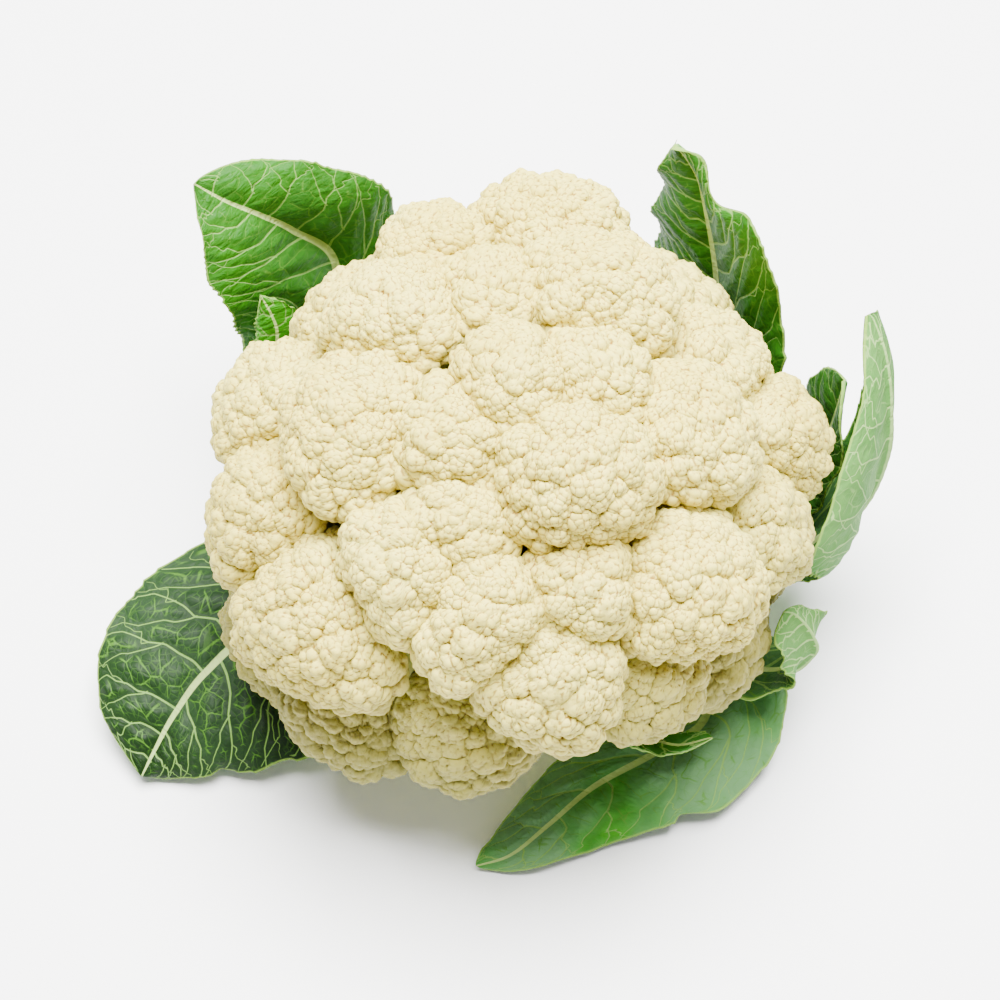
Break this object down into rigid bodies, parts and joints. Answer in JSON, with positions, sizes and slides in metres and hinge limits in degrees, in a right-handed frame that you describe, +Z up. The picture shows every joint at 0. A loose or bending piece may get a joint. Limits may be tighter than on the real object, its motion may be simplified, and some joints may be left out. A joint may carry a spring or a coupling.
{
  "type": "cauliflower",
  "caption": "Head of cauliflower standing on its flat cut stalk, with packed ivory florets and open green leaves around it.",
  "frame": {"origin": "centre of the stalk's flat cut face, on the surface that the head stands on", "axes": "+Z up the stalk, +X to the right and +Y to the back as the head is seen in the picture"},
  "size_m": [0.2542, 0.1979, 0.1637],
  "materials": {
    "curd": "matt granular ivory curd, tan in the clefts",
    "stalk": "smooth pale green stem with a damp cut face",
    "leaf": "green leaf with a waxy bloom and pale veins",
    "leaf_young": "young yellow-green leaf"
  },
  "bodies": {
    "root": {"floret_back": "curd", "floret_back_left": "curd", "floret_back_right": "curd", "floret_center": "curd", "floret_front": "curd", "floret_front_left": "curd", "floret_front_left_upper": "curd", "floret_front_middle": "curd", "floret_front_right": "curd", "floret_front_right_upper": "curd", "floret_front_upper": "curd", "floret_left": "curd", "floret_left_back": "curd", "floret_left_back_upper": "curd", "floret_left_top": "curd", "floret_low_back": "curd", "floret_low_back_left": "curd", "floret_low_back_right": "curd", "floret_low_front": "curd", "floret_low_front_left": "curd", "floret_low_front_right": "curd", "floret_low_left": "curd", "floret_low_left_back": "curd", "floret_low_right": "curd", "floret_low_right_back": "curd", "floret_low_right_side": "curd", "floret_right": "curd", "floret_right_back": "curd", "floret_right_front": "curd", "floret_right_top": "curd", "floret_top": "curd", "floret_top_back": "curd", "floret_top_back_mid": "curd", "floret_top_front": "curd", "floret_top_left_back": "curd", "floret_top_right": "curd", "leaf_back_left": "leaf", "leaf_back_right": "leaf", "leaf_front": "leaf", "leaf_front_left": "leaf", "leaf_right": "leaf", "leaf_right_inner": "leaf", "leaf_right_low": "leaf", "leaflet_front": "leaf_young", "leaflet_left": "leaf_young", "stalk": "stalk"}
  },
  "joints": []
}
